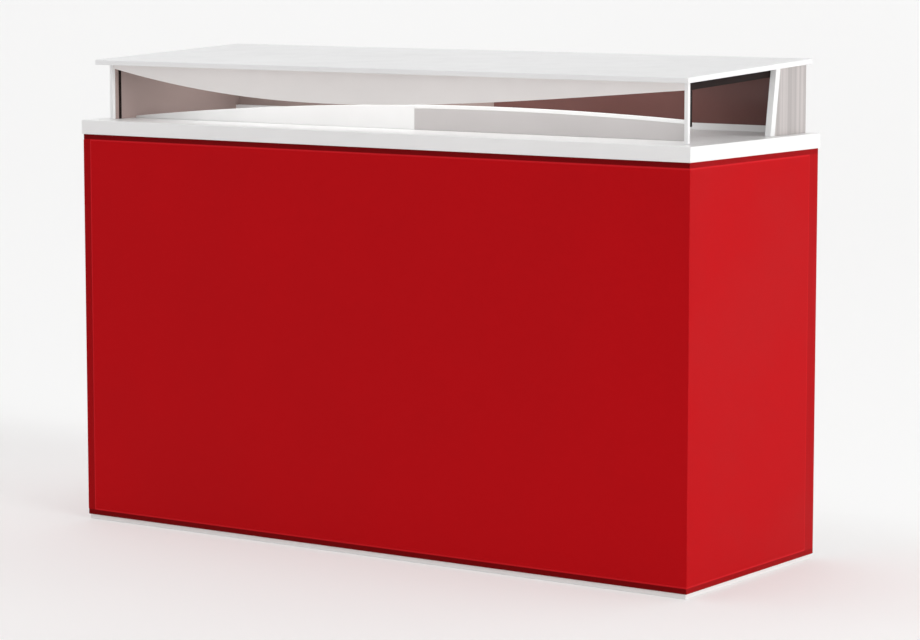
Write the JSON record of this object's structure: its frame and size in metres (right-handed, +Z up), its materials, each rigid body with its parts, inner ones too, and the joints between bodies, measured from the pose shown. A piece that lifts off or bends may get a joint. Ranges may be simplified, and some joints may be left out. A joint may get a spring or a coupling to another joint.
{
  "type": "reception desk",
  "caption": "Box-shaped reception desk with red lacquered panels, a white deck and a raised, gently sloping white slab; drawers, a cupboard, an open bay and sliding screens on the staff side.",
  "frame": {"origin": "floor level at the middle of the footprint", "axes": "+X to the right along the front as a visitor sees it, +Y from the visitor's side to the staff side, +Z up"},
  "size_m": [1.806, 0.606, 1.21],
  "materials": {
    "red_lacquer": "satin red lacquer on fibreboard",
    "white_gloss": "white gloss lacquer on board",
    "white_plinth": "white laminate strip",
    "white_metal": "white powder coat",
    "melamine": "fine-textured white melamine board",
    "grey_laminate": "light grey satin laminate",
    "drawer_grey": "grey melamine drawer box",
    "taupe_laminate": "taupe satin laminate",
    "brushed_metal": "vertically brushed",
    "tinted_acrylic": "dark brown gloss acrylic",
    "dark_track": "dark anodised extrusion",
    "steel": "satin",
    "zinc_steel": "zinc plated",
    "foot_plastic": "black moulded"
  },
  "bodies": {
    "desk": {"front_panel": "red_lacquer", "left_side_panel": "red_lacquer", "right_side_panel": "red_lacquer", "deck": "white_gloss", "slab": "white_gloss", "right_support_edge": "white_gloss", "upstand_left": "white_gloss", "plinth_front": "white_plinth", "plinth_left": "white_plinth", "plinth_right": "white_plinth", "plinth_back": "white_plinth", "front_post_left": "white_metal", "front_post_right": "white_metal", "screen_track_bottom": "white_metal", "bottom_board": "melamine", "left_partition": "melamine", "right_partition": "melamine", "bay_shelf": "melamine", "cupboard_shelf": "melamine", "niche_board": "melamine", "arched_rail": "grey_laminate", "upstand_right": "grey_laminate", "left_end_panel": "taupe_laminate", "right_support": "brushed_metal", "screen_track_top": "dark_track", "end_rail": "dark_track", "hinge_wall_leaf_lower": "steel", "hinge_wall_leaf_upper": "steel", "runner_channel_outer_1": "zinc_steel", "runner_channel_inner_1": "zinc_steel", "runner_channel_outer_2": "zinc_steel", "runner_channel_inner_2": "zinc_steel", "runner_channel_outer_3": "zinc_steel", "runner_channel_inner_3": "zinc_steel"},
    "drawer_1": {"drawer_front_1": "melamine", "drawer_box_1": "drawer_grey", "drawer_handle_1": "steel", "runner_bar_outer_1": "zinc_steel", "runner_bar_inner_1": "zinc_steel"},
    "drawer_2": {"drawer_front_2": "melamine", "drawer_box_2": "drawer_grey", "drawer_handle_2": "steel", "runner_bar_outer_2": "zinc_steel", "runner_bar_inner_2": "zinc_steel"},
    "drawer_3": {"drawer_front_3": "melamine", "drawer_box_3": "drawer_grey", "drawer_handle_3": "steel", "runner_bar_outer_3": "zinc_steel", "runner_bar_inner_3": "zinc_steel"},
    "door": {"cupboard_door": "melamine", "cupboard_handle": "steel", "hinge_door_leaf_lower": "steel", "hinge_door_leaf_upper": "steel"},
    "left_screen": {"screen_left": "tinted_acrylic"},
    "right_screen": {"screen_right": "tinted_acrylic"},
    "front_left_foot": {"foot_front_left": "foot_plastic"},
    "front_right_foot": {"foot_front_right": "foot_plastic"},
    "back_left_foot": {"foot_back_left": "foot_plastic"},
    "back_right_foot": {"foot_back_right": "foot_plastic"}
  },
  "joints": [
    {"name": "drawer_1_slide", "type": "slide", "parent": "desk", "child": "drawer_1", "axis": [0, 1, 0], "range_m": [0, 0.36]},
    {"name": "drawer_2_slide", "type": "slide", "parent": "desk", "child": "drawer_2", "axis": [0, 1, 0], "range_m": [0, 0.36]},
    {"name": "drawer_3_slide", "type": "slide", "parent": "desk", "child": "drawer_3", "axis": [0, 1, 0], "range_m": [0, 0.36]},
    {"name": "door_swing", "type": "hinge", "parent": "desk", "child": "door", "pos_m": [0.876, 0.274, 0.5135], "axis": [0, 0, -1], "range_deg": [0, 105]},
    {"name": "left_screen_slide", "type": "slide", "parent": "desk", "child": "left_screen", "axis": [1, 0, 0], "range_m": [0, 0.83]},
    {"name": "right_screen_slide", "type": "slide", "parent": "desk", "child": "right_screen", "axis": [-1, 0, 0], "range_m": [0, 0.83]},
    {"name": "front_left_foot_screw", "type": "slide", "parent": "desk", "child": "front_left_foot", "axis": [0, 0, -1], "range_m": [0, 0.01]},
    {"name": "front_right_foot_screw", "type": "slide", "parent": "desk", "child": "front_right_foot", "axis": [0, 0, -1], "range_m": [0, 0.01]},
    {"name": "back_left_foot_screw", "type": "slide", "parent": "desk", "child": "back_left_foot", "axis": [0, 0, -1], "range_m": [0, 0.01]},
    {"name": "back_right_foot_screw", "type": "slide", "parent": "desk", "child": "back_right_foot", "axis": [0, 0, -1], "range_m": [0, 0.01]}
  ]
}
